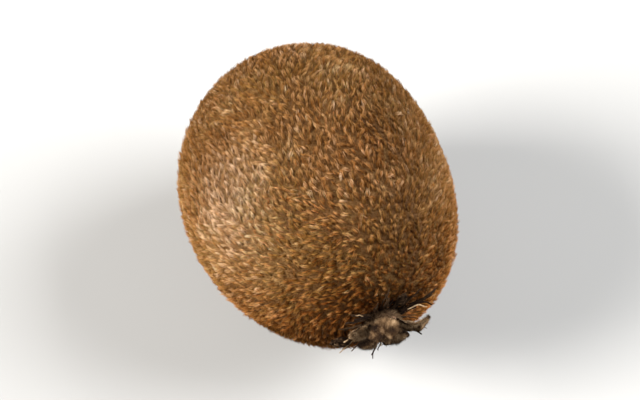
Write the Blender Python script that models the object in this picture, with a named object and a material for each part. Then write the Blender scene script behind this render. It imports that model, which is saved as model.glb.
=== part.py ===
# A kiwifruit lying on its side, as picked: the fruit, the dried sepals and
# stamens round the stalk scar, and the dried styles at the other end.
# The stalk end points to -Y. The origin is the middle of the flat rest spot.
# Each shape is made round the fruit's own long axis, and an empty holds them all at their height.
import math
import random

import bmesh
import bpy
from mathutils import Vector

# the fruit, in metres
HALF_LENGTH = 0.0330        # along Y, before the hollows at the ends
HALF_WIDTH = 0.0270         # along X
HALF_HEIGHT = 0.0254        # along Z, before the rest spot is cut
STEM_FULLNESS = 2.0         # superellipse powers, 2 is a plain ellipsoid
BLOSSOM_FULLNESS = 2.2
SIDE_FULLNESS = 2.13
TAPER = 0.025               # how much slimmer the stalk end is
BEND = 0.0018               # how far the two ends bow to +X
REST_CUT = 0.0004           # depth of the flat spot that it rests on
STEM_HOLLOW = (0.0022, 0.0062)      # depth, width
BLOSSOM_HOLLOW = (0.0009, 0.0042)
AROUND = 60                 # faces round the fruit
ALONG = 40                  # faces from end to end
POLE_CROWDING = 0.12        # draws the rings together at the ends
# each lump: height as a share of the radius, waves round, turn, waves along, shift
LUMPS = [
    (0.008, 2, 0.6, 1, 0.0),
    (0.005, 3, 2.1, 2, 0.7),
    (0.004, 5, 4.0, 2, 1.9),
]

# what is left of the flower
GAP = 0.0003                # clear space between touching pieces
SCAR_RADIUS = 0.0031
SCAR_PIT = 0.0011           # radius of the pit in the scar
SCAR_HEIGHT = 0.0023        # above the bottom of the stem hollow
# each dried sepal: turn round the scar, length, width, how steeply it leaves the skin at its root
# and at its tip (past 90 it leans over the scar), and how far its edges fold outward; degrees
SEPALS = [
    (108, 0.0056, 0.0062, 40, 140, 0.0008),
    (168, 0.0050, 0.0038, 34, -26, -0.0003),
    (230, 0.0048, 0.0044, 33, -30, -0.0005),
    (294, 0.0056, 0.0050, 33, -30, -0.0005),
    (2, 0.0068, 0.0042, 46, -14, 0.0006),
]
SEPAL_THICK = 0.00065
SEPAL_ROOT = 0.0027         # distance of the sepals' roots from the axis
SEPAL_HEIGHT = 0.0018       # of their middle layer over the skin, at the root
STAMEN_RING = (0.0036, 0.0046)      # inner and outer radius
STAMEN_RING_THICK = 0.00055
STAMENS_IN_GAP = (2, 4)     # between two sepals, rising, in a narrow gap and in a wide one
STAMEN_SPACING = (0.15, 0.28)       # radians from one to the next there
WIDE_GAP = 90               # degrees
STAMENS_FLAT = 19           # lying on the skin, under the sepals
STAMEN_WIDTH = (0.00062, 0.00050)   # at the root and at the tip
# long ones that are stuck together as a strip: turn, length outside the ring, rise over the skin
STUCK_STAMENS = [(25, 0.0088, 0.0019), (29.5, 0.0082, 0.0021)]
# withered clumps at the ends of some stamens: turn, distance from the axis, and half sizes
# along, across and out of the skin
CLUMPS = [
    (200, 0.0092, 0.0019, 0.0014, 0.0008),
    (58, 0.0072, 0.0012, 0.0010, 0.0006),
]
STYLE_COUNT = 22
STYLE_DISC = (0.0021, 0.0007)       # radius, thickness
STYLE_WIDTH = (0.00070, 0.00056)

BEND_MEAN = 0.2             # mean of the bend over the fruit's volume, so its weight stays over X = 0
END_OFFSET = BEND * (1 - BEND_MEAN)
CENTRE_HEIGHT = HALF_HEIGHT - REST_CUT
WIDEST = HALF_LENGTH * TAPER * SIDE_FULLNESS / 2    # where on the long axis the fruit is thickest


def clear_scene():
    for item in list(bpy.data.objects):
        bpy.data.objects.remove(item)


def place_axis():
    # the empty that stands for the fruit's long axis, over the rest spot
    axis = bpy.data.objects.new("fruit_axis", None)
    axis.empty_display_size = HALF_WIDTH
    axis.location = (0, -WIDEST, CENTRE_HEIGHT)
    bpy.context.scene.collection.objects.link(axis)
    return axis


def dry_material(name, colour, roughness):
    material = bpy.data.materials.new(name)
    material.use_nodes = True
    shader = material.node_tree.nodes["Principled BSDF"]
    shader.inputs["Base Color"].default_value = (*colour, 1)
    shader.inputs["Roughness"].default_value = roughness
    shader.inputs["Metallic"].default_value = 0
    return material


def make_object(name, mesh_data, material):
    # one object from a bmesh, faces pointing out and shaded smooth
    bmesh.ops.recalc_face_normals(mesh_data, faces=mesh_data.faces)
    mesh = bpy.data.meshes.new(name)
    mesh_data.to_mesh(mesh)
    mesh_data.free()
    mesh.shade_smooth()
    mesh.set_sharp_from_angle(angle=math.radians(50))
    mesh.materials.append(material)
    item = bpy.data.objects.new(name, mesh)
    bpy.context.scene.collection.objects.link(item)
    return item


def lump(polar, around):
    total = 0
    for height, waves, turn, waves_along, shift in LUMPS:
        total += height * math.sin(waves * around + turn) * math.cos(waves_along * polar + shift)
    return total


def skin_point(polar, around):
    # polar runs from 0 at the stalk end to pi at the blossom end
    fullness = STEM_FULLNESS if math.cos(polar) > 0 else BLOSSOM_FULLNESS
    along = -math.copysign(abs(math.cos(polar)) ** (2 / fullness), math.cos(polar))
    radius = abs(math.sin(polar)) ** (2 / SIDE_FULLNESS)
    radius *= (1 + TAPER * along) * (1 + lump(polar, around))
    x = HALF_WIDTH * radius * math.cos(around)
    z = HALF_HEIGHT * radius * math.sin(around)
    y = HALF_LENGTH * along
    depth, width = STEM_HOLLOW if along < 0 else BLOSSOM_HOLLOW
    y -= math.copysign(depth, along) * math.exp(-(x * x + z * z) / width ** 2)
    x += BEND * (along * along - BEND_MEAN)
    return Vector((x, y, z))


def end_height(side, x, up):
    # how far out the skin is, on Y, at an offset from the axis near one end
    radius = math.hypot(x / HALF_WIDTH, up / HALF_HEIGHT) / (1 + TAPER * side)
    polar = math.asin(radius ** (SIDE_FULLNESS / 2))
    depth, width = STEM_HOLLOW if side < 0 else BLOSSOM_HOLLOW
    fullness = STEM_FULLNESS if side < 0 else BLOSSOM_FULLNESS
    out = HALF_LENGTH * math.cos(polar) ** (2 / fullness)
    return out - depth * math.exp(-(x * x + up * up) / width ** 2)


def over_end(side, radius, turn, height):
    # a point at a height over the skin near the stalk end (side -1) or the other (side 1)
    x = radius * math.cos(turn)
    up = radius * math.sin(turn)
    out = end_height(side, x, up) + height
    return Vector((x + END_OFFSET, side * out, up))


def build_fruit():
    shape = bmesh.new()
    bmesh.ops.create_uvsphere(shape, u_segments=AROUND, v_segments=ALONG, radius=1)
    for vert in shape.verts:
        polar = math.acos(max(-1, min(1, -vert.co.z)))
        polar -= POLE_CROWDING * math.sin(2 * polar)
        vert.co = skin_point(polar, math.atan2(vert.co.y, vert.co.x))
    # the flat spot: the lowest skin is cut away and the cut is closed
    geometry = shape.verts[:] + shape.edges[:] + shape.faces[:]
    floor = (0, 0, -CENTRE_HEIGHT)
    cut = bmesh.ops.bisect_plane(
        shape, geom=geometry, dist=1e-7, plane_co=floor, plane_no=(0, 0, 1), clear_inner=True
    )
    rim = [edge for edge in cut["geom_cut"] if isinstance(edge, bmesh.types.BMEdge)]
    bmesh.ops.contextual_create(shape, geom=rim)
    return make_object("fruit", shape, dry_material("fruit_skin", (0.25, 0.13, 0.055), 0.85))


def turned(profile, side, steps):
    # a closed outline of (radius, out) pairs, spun round the fruit's long axis
    shape = bmesh.new()
    loop = [shape.verts.new((radius, side * out, 0)) for radius, out in profile]
    edges = [shape.edges.new((loop[i], loop[i + 1])) for i in range(len(loop) - 1)]
    if profile[0][0] > 0:
        edges.append(shape.edges.new((loop[-1], loop[0])))
    bmesh.ops.spin(
        shape, geom=loop + edges, axis=(0, 1, 0), cent=(0, 0, 0), steps=steps, angle=2 * math.pi
    )
    bmesh.ops.remove_doubles(shape, verts=shape.verts, dist=1e-6)
    bmesh.ops.translate(shape, verts=shape.verts, vec=(END_OFFSET, 0, 0))
    return shape


def thread(route, widths, sides):
    # a tapered, closed thread along a list of points
    shape = bmesh.new()
    rings = []
    across = (route[1] - route[0]).orthogonal()
    for index, point in enumerate(route):
        ahead = route[min(index + 1, len(route) - 1)]
        behind = route[max(index - 1, 0)]
        run = (ahead - behind).normalized()
        across = (across - run * across.dot(run)).normalized()
        other = run.cross(across)
        share = index / (len(route) - 1)
        radius = (widths[0] + (widths[1] - widths[0]) * share) / 2
        ring = []
        for step in range(sides):
            angle = 2 * math.pi * step / sides
            offset = across * math.cos(angle) + other * math.sin(angle)
            ring.append(shape.verts.new(point + offset * radius))
        rings.append(ring)
    for low, high in zip(rings, rings[1:]):
        for step in range(sides):
            after = (step + 1) % sides
            shape.faces.new((low[step], low[after], high[after], high[step]))
    shape.faces.new(list(reversed(rings[0])))
    shape.faces.new(rings[-1])
    return shape


def fuse(base, extras):
    # one solid from a base and what is rooted in it
    group = bpy.data.collections.new(base.name + "_repeats")
    bpy.context.scene.collection.children.link(group)
    for item in extras:
        bpy.context.scene.collection.objects.unlink(item)
        group.objects.link(item)
    union = base.modifiers.new("union", "BOOLEAN")
    union.operation = "UNION"
    union.operand_type = "COLLECTION"
    union.collection = group
    union.solver = "EXACT"
    bpy.context.view_layer.update()
    evaluated = base.evaluated_get(bpy.context.evaluated_depsgraph_get())
    mesh = bpy.data.meshes.new_from_object(evaluated)
    base.modifiers.clear()
    base.data = mesh
    for item in extras:
        bpy.data.objects.remove(item)
    bpy.data.collections.remove(group)
    return base


def sepal_middle(length, tilts, share):
    # distance from the axis, height and tilt along the middle of a sepal, which bends evenly
    start, end = [math.radians(tilt) for tilt in tilts]
    tilt = start + (end - start) * share
    radius = SEPAL_ROOT + length * (math.sin(tilt) - math.sin(start)) / (end - start)
    height = SEPAL_HEIGHT + length * (math.cos(start) - math.cos(tilt)) / (end - start)
    return radius, height, tilt


def sepal(turn, length, width, root_tilt, tip_tilt, cup, chance, material):
    # a dried leaf of the calyx: narrow at the root, round at the tip, with its edges folded
    ripple = chance.uniform(0, 2 * math.pi)
    side_twist = chance.uniform(-0.0004, 0.0004)
    shape = bmesh.new()
    bmesh.ops.create_grid(shape, x_segments=10, y_segments=4, size=1)
    for vert in shape.verts:
        share = (vert.co.x + 1) / 2
        half = width / 2 * (0.5 + 0.5 * math.sin(math.pi / 2 * min(1, share / 0.5)))
        half *= 1 - 0.85 * max(0, (share - 0.5) / 0.5) ** 2.2
        across = vert.co.y * half
        radius, height, tilt = sepal_middle(length, (root_tilt, tip_tilt), share)
        fold = cup * vert.co.y ** 2 * math.sin(math.pi * share ** 0.8)
        fold += 0.0002 * math.sin(8 * share + ripple) * share + side_twist * vert.co.y * share
        radius -= fold * math.sin(tilt)
        height += fold * math.cos(tilt)
        aside = math.atan2(across, radius)
        vert.co = over_end(-1, math.hypot(radius, across), math.radians(turn) + aside, height)
    leaf = make_object("sepal", shape, material)
    shell = leaf.modifiers.new("thickness", "SOLIDIFY")
    shell.thickness = SEPAL_THICK
    shell.offset = 0
    return leaf


def build_calyx():
    # the scar of the stalk is a low round rim with a pit, and the sepals grow from its side
    chance = random.Random(11)
    material = dry_material("dried_sepal", (0.22, 0.16, 0.11), 0.9)
    floor = end_height(-1, SCAR_RADIUS, 0) + GAP
    top = end_height(-1, 0, 0) + SCAR_HEIGHT
    profile = [
        (0, floor),
        (SCAR_RADIUS * 0.9, floor),
        (SCAR_RADIUS, floor + 0.0004),
        (SCAR_RADIUS * 0.98, top - 0.0006),
        (SCAR_RADIUS * 0.84, top - 0.0001),
        (SCAR_RADIUS * 0.66, top),
        (SCAR_RADIUS * 0.50, top - 0.0003),
        (SCAR_PIT, top - 0.0009),
        (SCAR_PIT * 0.7, top - 0.0014),
        (0, top - 0.0015),
    ]
    base = make_object("calyx", turned(profile, -1, 24), material)
    return fuse(base, [sepal(*sizes, chance, material) for sizes in SEPALS])


def stamen_route(turn, reach, start_height, rise, sway):
    # from inside the ring outward over the skin
    steps = 6
    root = sum(STAMEN_RING) / 2
    route = []
    for index in range(steps + 1):
        share = index / steps
        height = start_height + rise * share ** 1.6
        route.append(over_end(-1, root + reach * share, turn + sway * share ** 1.5, height))
    return route


def clump(turn, distance, half_along, half_across, half_out, chance, material):
    # a lumpy knot that lies just over the skin
    phase = [chance.uniform(0, 2 * math.pi) for _ in range(3)]
    shape = bmesh.new()
    bmesh.ops.create_icosphere(shape, subdivisions=3, radius=1)
    for vert in shape.verts:
        x, y, z = vert.co
        swell = 1 + 0.10 * sum(math.sin(4.5 * side + shift) for side, shift in zip(vert.co, phase))
        along = distance + x * half_along * swell
        across = y * half_across * swell
        height = GAP + half_out * (1 + z)
        aside = math.atan2(across, along)
        vert.co = over_end(-1, math.hypot(along, across), math.radians(turn) + aside, height)
    return make_object("clump", shape, material)


def build_stamens():
    chance = random.Random(23)
    material = dry_material("dried_thread", (0.035, 0.024, 0.018), 0.7)
    inner, outer = STAMEN_RING
    heights = [end_height(-1, radius, 0) + GAP for radius in STAMEN_RING]
    profile = [
        (inner, heights[0]),
        (outer, heights[1]),
        (outer, heights[1] + STAMEN_RING_THICK),
        (inner, heights[0] + STAMEN_RING_THICK),
    ]
    base = make_object("stamens", turned(profile, -1, 40), material)
    middle = GAP + STAMEN_RING_THICK / 2
    threads = []
    turns = sorted(sizes[0] for sizes in SEPALS)
    for before, after in zip(turns, turns[1:] + [turns[0] + 360]):
        gap_turn = math.radians((before + after) / 2)
        wide = after - before > WIDE_GAP
        for place in range(STAMENS_IN_GAP[wide]):
            aside = (place - (STAMENS_IN_GAP[wide] - 1) / 2) * STAMEN_SPACING[wide]
            reach = chance.uniform(0.0048, 0.0072)
            rise = chance.uniform(0.0010, 0.0032)
            route = stamen_route(gap_turn + aside, reach, middle, rise, aside * 0.5)
            threads.append(make_object("stamen", thread(route, STAMEN_WIDTH, 5), material))
    for index in range(STAMENS_FLAT):
        turn = 2 * math.pi * (index + chance.uniform(-0.4, 0.4)) / STAMENS_FLAT
        reach = chance.uniform(0.0024, 0.0058)
        route = stamen_route(turn, reach, middle, 0, chance.uniform(-0.3, 0.3))
        threads.append(make_object("stamen", thread(route, STAMEN_WIDTH, 5), material))
    for turn, reach, rise in STUCK_STAMENS:
        route = stamen_route(math.radians(turn), reach, middle, rise, 0)
        threads.append(make_object("stamen", thread(route, STAMEN_WIDTH, 5), material))
    for turn, distance, *half_sizes in CLUMPS:
        reach = distance - sum(STAMEN_RING) / 2
        route = stamen_route(math.radians(turn), reach, middle, 0, 0)
        threads.append(make_object("stamen", thread(route, STAMEN_WIDTH, 5), material))
        threads.append(clump(turn, distance, *half_sizes, chance, material))
    return fuse(base, threads)


def build_styles():
    # a small brush at the blossom end: dried styles that splay from a disc
    chance = random.Random(37)
    material = dry_material("dried_style", (0.07, 0.045, 0.03), 0.75)
    radius, thick = STYLE_DISC
    floor = end_height(1, radius, 0) + GAP
    profile = [
        (0, floor),
        (radius, floor),
        (radius * 1.02, floor + thick * 0.5),
        (radius * 0.9, floor + thick),
        (0, floor + thick * 1.1),
    ]
    base = make_object("styles", turned(profile, 1, 20), material)
    golden = math.pi * (3 - math.sqrt(5))
    start = floor + thick * 0.45
    threads = []
    for index in range(STYLE_COUNT):
        share = math.sqrt((index + 0.5) / STYLE_COUNT)
        turn = golden * index
        length = 0.0016 + 0.0012 * share + chance.uniform(-0.0003, 0.0003)
        lean = 0.1 + 0.85 * share
        route = []
        for step in range(5):
            run = step / 4
            away = radius * 0.86 * share + length * run * math.sin(lean * (0.6 + 0.7 * run))
            out = start + length * run * math.cos(lean * (0.6 + 0.5 * run))
            route.append(Vector((away * math.cos(turn) + END_OFFSET, out, away * math.sin(turn))))
        threads.append(make_object("style", thread(route, STYLE_WIDTH, 5), material))
    return fuse(base, threads)


clear_scene()
fruit_axis = place_axis()
for node in (build_fruit(), build_calyx(), build_stamens(), build_styles()):
    node.parent = fruit_axis
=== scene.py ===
import math
import random

import bpy
import numpy as np
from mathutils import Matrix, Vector


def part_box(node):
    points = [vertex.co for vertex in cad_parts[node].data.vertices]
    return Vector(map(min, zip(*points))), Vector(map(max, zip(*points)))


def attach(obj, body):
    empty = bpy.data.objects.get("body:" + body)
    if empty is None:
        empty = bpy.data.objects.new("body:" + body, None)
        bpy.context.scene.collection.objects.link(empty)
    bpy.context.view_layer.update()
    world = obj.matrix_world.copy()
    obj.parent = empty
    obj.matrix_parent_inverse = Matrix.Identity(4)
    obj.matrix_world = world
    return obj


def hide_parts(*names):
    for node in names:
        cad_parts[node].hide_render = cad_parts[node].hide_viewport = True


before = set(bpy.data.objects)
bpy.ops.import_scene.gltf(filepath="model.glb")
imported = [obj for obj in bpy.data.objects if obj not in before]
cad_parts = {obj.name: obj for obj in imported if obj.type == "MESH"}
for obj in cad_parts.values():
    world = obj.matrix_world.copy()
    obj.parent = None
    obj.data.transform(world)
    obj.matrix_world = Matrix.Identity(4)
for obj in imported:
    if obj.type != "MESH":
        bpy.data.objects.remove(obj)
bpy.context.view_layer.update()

mm = 0.001
fullTurn = 2 * math.pi
fruitLow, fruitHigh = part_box("fruit")
print("frame loaded, fruit", [round(side / mm, 1) for side in fruitHigh - fruitLow], "mm")

# look and framing
viewSetup = {
    "azimuth": -20,  # degrees round the fruit, 0 looks along +Y
    "elevation": 55,  # degrees above the floor
    "lens": 120, "sensor": 36, "clipStart": 0.01,
    "frameWidth": 0.129,  # metres across the picture at the fruit
    "aim": (0.0, -0.0015, 0.0245),
}


def placeAround(item, azimuth, elevation, distance):
    # stands a camera or a lamp off to one side and turns it back to the fruit
    a, e = math.radians(azimuth), math.radians(elevation)
    away = Vector((math.sin(a) * math.cos(e), -math.cos(a) * math.cos(e), math.sin(e)))
    item.location = Vector(viewSetup["aim"]) + away * distance
    item.rotation_mode = "QUATERNION"
    item.rotation_quaternion = (-away).to_track_quat("-Z", "Y")
    bpy.context.scene.collection.objects.link(item)


def makeCamera():
    data = bpy.data.cameras.new("camera")
    data.lens = viewSetup["lens"]
    data.sensor_width = viewSetup["sensor"]
    data.clip_start = viewSetup["clipStart"]
    camera = bpy.data.objects.new("camera", data)
    distance = viewSetup["frameWidth"] * data.lens / data.sensor_width
    placeAround(camera, viewSetup["azimuth"], viewSetup["elevation"], distance)
    bpy.context.scene.camera = camera


makeCamera()
print("camera placed")

# the form of the fruit, the same formula as its solid
fruit = {
    "halfWidth": (fruitHigh.x - fruitLow.x) / 2,
    "restCut": 0.4 * mm,  # the flat spot is this far up the round form
    "hollowLoss": 2.21 * mm,  # what the two hollows take off the length
    "stemFullness": 2.0, "blossomFullness": 2.2, "sideFullness": 2.13,
    "taper": 0.025,
    "bend": 1.8 * mm, "bendMean": 0.2,
    "stemHollow": (2.2 * mm, 6.2 * mm),  # depth and width
    "blossomHollow": (0.9 * mm, 4.2 * mm),
    # height as a share of the radius, waves round, turn, waves along, shift
    "lumps": [(0.008, 2, 0.6, 1, 0.0), (0.005, 3, 2.1, 2, 0.7), (0.004, 5, 4.0, 2, 1.9)],
    "skinInset": 0.7 * mm,  # the solid stands for the middle of the fuzz, so the skin is inside it
}
fruit["halfHeight"] = (fruitHigh.z - fruitLow.z + fruit["restCut"]) / 2
fruit["halfLength"] = (fruitHigh.y - fruitLow.y + fruit["hollowLoss"]) / 2
widestAlong = fruit["halfLength"] * fruit["taper"] * fruit["sideFullness"] / 2
centreHeight = fruit["halfHeight"] - fruit["restCut"]
endOffset = fruit["bend"] * (1 - fruit["bendMean"])
skinInset = fruit["skinInset"]


def skinPoints(polar, around):
    # points on the skin, polar runs from 0 at the stalk end to pi at the other
    cosine = np.cos(polar)
    fullness = np.where(cosine > 0, fruit["stemFullness"], fruit["blossomFullness"])
    along = -np.sign(cosine) * np.abs(cosine) ** (2 / fullness)
    radius = np.abs(np.sin(polar)) ** (2 / fruit["sideFullness"]) * (1 + fruit["taper"] * along)
    swell = 0
    for height, waves, turn, wavesAlong, shift in fruit["lumps"]:
        swell = swell + height * np.sin(waves * around + turn) * np.cos(wavesAlong * polar + shift)
    radius = radius * (1 + swell)
    x = (fruit["halfWidth"] - skinInset) * radius * np.cos(around)
    z = (fruit["halfHeight"] - skinInset) * radius * np.sin(around)
    y = (fruit["halfLength"] - skinInset) * along
    near = x * x + z * z
    stem, blossom = [
        depth * np.exp(-near / width ** 2) for depth, width in (fruit["stemHollow"], fruit["blossomHollow"])
    ]
    y = y + np.where(along < 0, stem, -blossom)
    x = x + fruit["bend"] * (along * along - fruit["bendMean"])
    return np.stack([x, y - widestAlong, z + centreHeight], -1)


def axisPoints(radius, turn, along):
    # points round the axis of the two ends
    return np.stack([radius * np.cos(turn) + endOffset, along, radius * np.sin(turn) + centreHeight], -1)


def endPoints(side, radius, turn, height):
    # points height above the solid at one end (-1 stalk, 1 blossom), radius and turn taken round its axis
    reach = np.hypot(radius * np.cos(turn) / fruit["halfWidth"], radius * np.sin(turn) / fruit["halfHeight"])
    reach = reach / (1 + fruit["taper"] * side)
    polar = np.arcsin(np.clip(reach, 0, 1) ** (fruit["sideFullness"] / 2))
    fullness = fruit["stemFullness"] if side < 0 else fruit["blossomFullness"]
    depth, width = fruit["stemHollow"] if side < 0 else fruit["blossomHollow"]
    out = fruit["halfLength"] * np.cos(polar) ** (2 / fullness) - depth * np.exp(-(radius / width) ** 2)
    return axisPoints(radius, turn, side * (out + height) - widestAlong)


def unit(vectors):
    return vectors / np.maximum(np.linalg.norm(vectors, axis=-1, keepdims=True), 1e-12)


def skinFrames(polar, around):
    # point, unit vectors along and across the fruit and out of it, and metres per radian of each angle
    step = 1e-4
    polar = np.clip(polar, 2 * step, math.pi - 2 * step)
    along = (skinPoints(polar + step, around) - skinPoints(polar - step, around)) / (2 * step)
    across = (skinPoints(polar, around + step) - skinPoints(polar, around - step)) / (2 * step)
    out = unit(np.cross(along, across))
    stretch = [np.linalg.norm(way, axis=-1) for way in (along, across)]
    return skinPoints(polar, around), unit(along), unit(across), out, *stretch


def softNoise(points, size, seed):
    # smooth noise near -1..1 whose blotches are about size metres across
    waves = 12
    draw = np.random.default_rng(seed)
    vectors = unit(draw.normal(size=(waves, 3))) * draw.uniform(0.6, 1.5, (waves, 1)) * math.pi / size
    phases = draw.uniform(0, fullTurn, waves)
    return np.sin(points @ vectors.T + phases).sum(-1) / math.sqrt(waves)


def layered(points, layers):
    # the sum of several noises, each with its height, size and seed
    return sum(height * softNoise(points, size, seed) for height, size, seed in layers)


def ringTurns(columns):
    return np.linspace(0, fullTurn, columns, endpoint=False)


def halved(quads):
    return np.concatenate([quads[:, [0, 1, 2]], quads[:, [0, 2, 3]]])


def ringBands(rows, columns):
    # triangles between rings of points, the numbers of the points and of their neighbours
    index = np.arange(rows * columns).reshape(rows, columns)
    after = np.roll(index, -1, axis=1)
    quads = np.stack([index[:-1], index[1:], after[1:], after[:-1]], -1).reshape(-1, 4)
    return halved(quads), index, after


def closedRings(rows, columns):
    # the same with a fan at each end, round two points that follow theirs
    bands, index, after = ringBands(rows, columns)
    first, last = np.full(columns, rows * columns), np.full(columns, rows * columns + 1)
    return np.concatenate([
        bands, np.stack([first, index[0], after[0]], -1), np.stack([last, after[-1], index[-1]], -1)
    ])


def meshObject(name, verts, faces, material):
    # one smooth object from an array of points and an array of faces
    mesh = bpy.data.meshes.new(name)
    mesh.from_pydata(verts, [], faces)
    mesh.shade_smooth()
    mesh.materials.append(material)
    item = bpy.data.objects.new(name, mesh)
    bpy.context.scene.collection.objects.link(item)
    return item


def setPointValues(item, name, values):
    attribute = item.data.attributes.new(name, "FLOAT", "POINT")
    attribute.data.foreach_set("value", np.asarray(values, np.float32))


def dress(item, node):
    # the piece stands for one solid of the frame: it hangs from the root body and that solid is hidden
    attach(item, "root")
    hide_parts(node)


def newMaterial(name, roughness, specular):
    material = bpy.data.materials.new(name)
    material.use_nodes = True
    shader = material.node_tree.nodes["Principled BSDF"]
    shader.inputs["Roughness"].default_value = roughness
    shader.inputs["Specular IOR Level"].default_value = specular
    return material, material.node_tree, shader


def addNode(tree, kind, **inputs):
    node = tree.nodes.new(kind)
    for key, value in inputs.items():
        node.inputs[key].default_value = value
    return node


def pointValue(tree, name):
    attribute = tree.nodes.new("ShaderNodeAttribute")
    attribute.attribute_name = name
    return attribute.outputs["Fac"]


def objectNoise(tree, scale, detail, rough):
    coords = tree.nodes.new("ShaderNodeTexCoord")
    noise = addNode(tree, "ShaderNodeTexNoise", Scale=scale, Detail=detail, Roughness=rough)
    tree.links.new(coords.outputs["Object"], noise.inputs["Vector"])
    return noise.outputs["Fac"]


def colourRamp(tree, source, stops, interpolation="LINEAR"):
    ramp = tree.nodes.new("ShaderNodeValToRGB")
    ramp.color_ramp.interpolation = interpolation
    elements = ramp.color_ramp.elements
    while len(elements) < len(stops):
        elements.new(0.5)
    for element, (place, colour) in zip(elements, stops):
        element.position = place
        element.color = (*colour, 1)
    tree.links.new(source, ramp.inputs["Fac"])
    return ramp.outputs["Color"]


def multiplied(tree, first, second):
    mix = tree.nodes.new("ShaderNodeMix")
    mix.data_type = "RGBA"
    mix.blend_type = "MULTIPLY"
    mix.inputs["Factor"].default_value = 1
    tree.links.new(first, mix.inputs["A"])
    tree.links.new(second, mix.inputs["B"])
    return mix.outputs["Result"]


def grainedMaterial(name, look, valueName=None):
    # colours by a value of the points or by noise, and a fine grain that darkens and raises them
    material, tree, shader = newMaterial(name, look["roughness"], look["specular"])
    source = pointValue(tree, valueName) if valueName else objectNoise(tree, *look["patches"])
    grain = objectNoise(tree, *look["grain"])
    shade = colourRamp(tree, grain, look["grainShades"])
    colour = multiplied(tree, colourRamp(tree, source, look["colours"]), shade)
    tree.links.new(colour, shader.inputs["Base Color"])
    strength, distance = look["bump"]
    bump = addNode(tree, "ShaderNodeBump", Strength=strength, Distance=distance)
    tree.links.new(grain, bump.inputs["Height"])
    tree.links.new(bump.outputs["Normal"], shader.inputs["Normal"])
    return material


# skin under the fuzz
skinLook = {
    "along": 100, "around": 140,
    "crowding": 0.12,  # how much closer the rings are at the two ends
    "bumpSize": 1.6 * mm, "bumpHeight": 0.05 * mm,
    "floorGap": 0.1 * mm,
    "colours": [(0.30, (0.060, 0.028, 0.010)), (0.50, (0.105, 0.052, 0.018)), (0.70, (0.150, 0.085, 0.030))],
    "roughness": 0.75, "specular": 0.05,
    "patches": (90, 4, 0.55),  # scale, detail and roughness of the noise
    "grain": (900, 2, 0.55),
    "grainShades": [(0.35, (0.55, 0.5, 0.45)), (0.55, (1, 1, 1))],
    "bump": (0.5, 0.2 * mm),
}


def makeSkin():
    look = skinLook
    polar = np.linspace(0, math.pi, look["along"] + 1)[1:-1]
    polar = polar - look["crowding"] * np.sin(2 * polar)
    grid = np.meshgrid(polar, ringTurns(look["around"]), indexing="ij")
    here, _, _, out, _, _ = skinFrames(grid[0].ravel(), grid[1].ravel())
    here = here + out * (softNoise(here, look["bumpSize"], 5) * look["bumpHeight"])[:, None]
    verts = np.concatenate([here, skinPoints(np.array([0.0, math.pi]), np.zeros(2))])
    verts[:, 2] = np.maximum(verts[:, 2], look["floorGap"])
    faces = closedRings(len(polar), look["around"])
    skin = meshObject("fruit_skin", verts, faces, grainedMaterial("kiwi skin", look))
    dress(skin, "fruit")


makeSkin()
print("skin made")

# fuzz
fuzzLook = {
    "thick": 0.07 * mm,
    "below": 0.3,  # share of a hair's thickness under its middle line
    "pieceFaces": 198000,
    "bareStem": 3.5 * mm,  # no hair nearer the axis than this at the ends
    "bareBlossom": 2.7 * mm,
    "floorGap": 0.13 * mm,
    "rowStep": 0.87,  # of the spacing, from row to row of places
    "scatter": 0.42,  # of the spacing, how far a place is moved at most
    # the way the hair lies, in radians from the fruit's length: all over, round the stalk end, in patches
    "flow": 0.25,
    "stemFlow": (1.15, 0.75),
    "flowPatches": [(0.5, 17 * mm, 31), (0.4, 4 * mm, 32)],
    "tone": 0.45,
    "tonePatches": [(0.05, 14 * mm, 41), (0.05, 4 * mm, 42)],
    # darker towards the stalk end, partly the hairs' own darker colour and partly painted shade; height and
    # reach
    "stemToneAndShade": (-0.30, 1.05),
    # painted highlight: paler hairs in a spot on the side towards the key light, its centre, size and
    # strength
    "paintedSheenSpot": (-20 * mm, -8 * mm, 40 * mm),
    "paintedSheenSize": 11 * mm, "paintedSheenStrength": 0.46,
    "tones": [
        (0.00, (0.112, 0.041, 0.009)), (0.30, (0.222, 0.098, 0.028)),
        (0.60, (0.340, 0.178, 0.074)), (1.00, (0.570, 0.395, 0.255)),
    ],
    # share of reddish hairs all over, near the stalk and in patches, then of olive ones
    "red": 0.05,
    "stemRed": (0.65, 0.62),
    "redPatches": [(0.09, 11 * mm, 51)],
    "olive": 0.22,
    "olivePatches": [(0.22, 16 * mm, 52), (0.12, 6 * mm, 53)],
    # tint of each kind of hair: brown, reddish and olive
    "tints": [(1.00, 1.00, 1.00), (1.06, 0.82, 0.68), (0.88, 1.00, 0.86)],
    # painted shade: every hair darker and redder towards its root, deep in the fuzz
    "rootShade": (0.36, 0.3024, 0.2232),
    "shadeEnd": 0.75,  # of the hair, where it reaches its full colour
    "roughness": 0.55, "specular": 0.0,
}


def fuzzMaterial(name, shade):
    material, tree, shader = newMaterial(name, fuzzLook["roughness"], fuzzLook["specular"])
    tone = colourRamp(tree, pointValue(tree, "hairTone"), fuzzLook["tones"])
    # painted shade: the root of each hair darkened, and the whole layer scaled down by shade
    dark = tuple(part * shade for part in fuzzLook["rootShade"])
    ends = [(0.0, dark), (fuzzLook["shadeEnd"], (shade, shade, shade))]
    shading = colourRamp(tree, pointValue(tree, "hairAlong"), ends)
    kinds = list(zip((0.0, 0.25, 0.75), fuzzLook["tints"]))
    tint = colourRamp(tree, pointValue(tree, "hairKind"), kinds, "CONSTANT")
    colour = multiplied(tree, multiplied(tree, tone, shading), tint)
    tree.links.new(colour, shader.inputs["Base Color"])
    return material


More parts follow.
